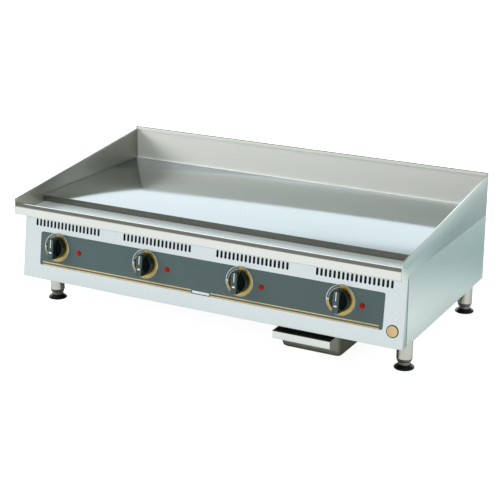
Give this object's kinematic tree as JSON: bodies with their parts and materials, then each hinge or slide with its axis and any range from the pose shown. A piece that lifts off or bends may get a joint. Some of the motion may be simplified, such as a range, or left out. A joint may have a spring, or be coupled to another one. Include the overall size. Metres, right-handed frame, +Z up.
{
  "type": "flat top griddle",
  "caption": "Countertop electric griddle: wide polished plate with splash guards, front grease trough and drawer, leaning control panel with dials, vent slots, adjustable legs.",
  "frame": {"origin": "centre of the overall box, on the surface the feet stand on", "axes": "+X along the width towards the drawer end, +Y towards the back splash, +Z up; the control panel faces -Y"},
  "size_m": [1.219, 0.676, 0.429],
  "materials": {
    "stainless": "fine brushed",
    "plate": "ground and polished",
    "dark_steel": "dark, slightly oily",
    "overlay": "satin",
    "dial_metal": "satin",
    "lamp_lens": "glossy",
    "knob_black": "satin",
    "case_black": "matt",
    "foot_black": "glossy",
    "element_sheath": "heat-darkened",
    "blanket": "fibrous",
    "bushing": "satin",
    "galvanised": "dull spangle"
  },
  "bodies": {
    "casing": {"back_panel": "stainless", "back_splash": "stainless", "bottom_pan": "galvanised", "conduit_bushing": "bushing", "control_heat_shield": "galvanised", "control_overlay": "overlay", "dial_bezel_1": "dial_metal", "dial_bezel_2": "dial_metal", "dial_bezel_3": "dial_metal", "dial_bezel_4": "dial_metal", "drawer_rail_left": "galvanised", "drawer_rail_right": "galvanised", "element_clamp_front": "galvanised", "element_clamp_rear": "galvanised", "front_panel": "stainless", "grease_chute": "galvanised", "grease_trough": "stainless", "griddle_plate": "plate", "heating_element_1": "element_sheath", "heating_element_2": "element_sheath", "heating_element_3": "element_sheath", "heating_element_4": "element_sheath", "indicator_lamp_1": "lamp_lens", "indicator_lamp_2": "lamp_lens", "indicator_lamp_3": "lamp_lens", "indicator_lamp_4": "lamp_lens", "insulation_blanket": "blanket", "insulation_tray": "galvanised", "leg_sleeve_back_left": "stainless", "leg_sleeve_back_right": "stainless", "leg_sleeve_front_left": "stainless", "leg_sleeve_front_right": "stainless", "side_panel_left": "stainless", "side_panel_right": "stainless", "side_splash_left": "stainless", "side_splash_right": "stainless", "terminal_block": "case_black", "thermostat_1": "case_black", "thermostat_2": "case_black", "thermostat_3": "case_black", "thermostat_4": "case_black"},
    "dial_1": {"knob_1": "knob_black", "thermostat_shaft_1": "galvanised"},
    "dial_2": {"knob_2": "knob_black", "thermostat_shaft_2": "galvanised"},
    "dial_3": {"knob_3": "knob_black", "thermostat_shaft_3": "galvanised"},
    "dial_4": {"knob_4": "knob_black", "thermostat_shaft_4": "galvanised"},
    "drawer": {"drawer_pan": "dark_steel", "drawer_handle": "stainless"},
    "foot_front_left": {"leg_adjuster_front_left": "stainless", "foot_pad_front_left": "foot_black"},
    "foot_front_right": {"leg_adjuster_front_right": "stainless", "foot_pad_front_right": "foot_black"},
    "foot_back_left": {"leg_adjuster_back_left": "stainless", "foot_pad_back_left": "foot_black"},
    "foot_back_right": {"leg_adjuster_back_right": "stainless", "foot_pad_back_right": "foot_black"}
  },
  "joints": [
    {"name": "knob_turn_1", "type": "hinge", "parent": "casing", "child": "dial_1", "pos_m": [-0.4902, -0.29765, 0.20314], "axis": [0, 0.9917, -0.1284], "range_deg": [0, 290]},
    {"name": "knob_turn_2", "type": "hinge", "parent": "casing", "child": "dial_2", "pos_m": [-0.1854, -0.29765, 0.20314], "axis": [0, 0.9917, -0.1284], "range_deg": [0, 290]},
    {"name": "knob_turn_3", "type": "hinge", "parent": "casing", "child": "dial_3", "pos_m": [0.1194, -0.29765, 0.20314], "axis": [0, 0.9917, -0.1284], "range_deg": [0, 290]},
    {"name": "knob_turn_4", "type": "hinge", "parent": "casing", "child": "dial_4", "pos_m": [0.4242, -0.29765, 0.20314], "axis": [0, 0.9917, -0.1284], "range_deg": [0, 290]},
    {"name": "drawer_slide", "type": "slide", "parent": "casing", "child": "drawer", "axis": [0, -1, 0], "range_m": [0, 0.3]},
    {"name": "foot_adjust_front_left", "type": "slide", "parent": "casing", "child": "foot_front_left", "axis": [0, 0, -1], "range_m": [0, 0.025]},
    {"name": "foot_adjust_front_right", "type": "slide", "parent": "casing", "child": "foot_front_right", "axis": [0, 0, -1], "range_m": [0, 0.025]},
    {"name": "foot_adjust_back_left", "type": "slide", "parent": "casing", "child": "foot_back_left", "axis": [0, 0, -1], "range_m": [0, 0.025]},
    {"name": "foot_adjust_back_right", "type": "slide", "parent": "casing", "child": "foot_back_right", "axis": [0, 0, -1], "range_m": [0, 0.025]}
  ]
}
